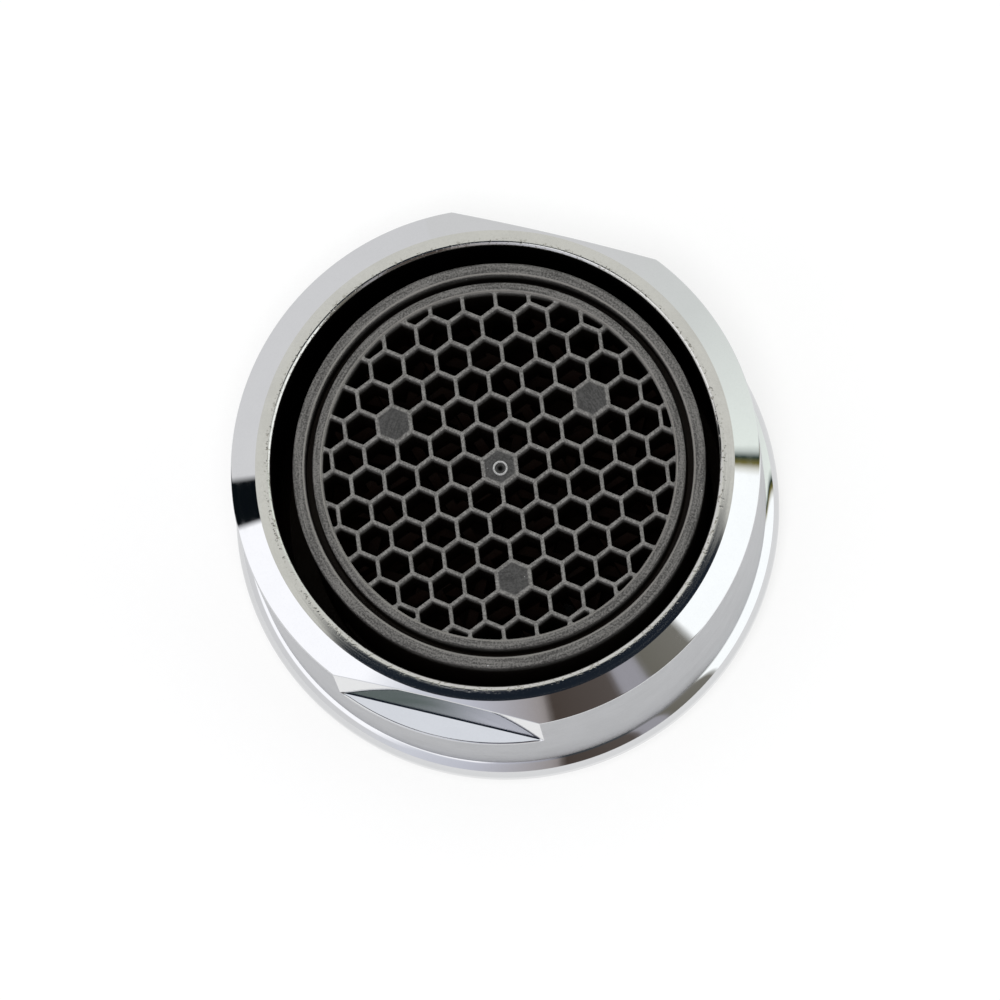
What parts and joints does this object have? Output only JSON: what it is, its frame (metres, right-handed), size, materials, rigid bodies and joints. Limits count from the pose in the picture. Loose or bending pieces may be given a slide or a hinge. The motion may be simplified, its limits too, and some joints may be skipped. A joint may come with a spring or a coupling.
{
  "type": "tap aerator",
  "caption": "Round chrome tap aerator with spanner flats, a collar and an outside thread, holding a honeycomb cartridge that mixes air into the water.",
  "frame": {"origin": "centre of the sealing washer's lower face, the surface that the part stands on", "axes": "+Z along the axis, out of the outlet; the two spanner flats face +Y and -Y"},
  "size_m": [0.0252, 0.0252, 0.0149],
  "materials": {
    "chrome": "polished chrome plate on brass",
    "washer_rubber": "matt black rubber",
    "grey_plastic": "fine-grained dark warm grey moulding",
    "inner_plastic": "dark brown moulding",
    "strainer_plastic": "pale grey moulding"
  },
  "bodies": {
    "root": {"housing": "chrome", "seal_washer": "washer_rubber", "cartridge_sleeve": "grey_plastic", "honeycomb_straightener": "grey_plastic", "splitter_grid_inlet": "inner_plastic", "splitter_grid_outlet": "inner_plastic", "jet_plate": "inner_plastic", "inlet_strainer": "strainer_plastic"}
  },
  "joints": []
}
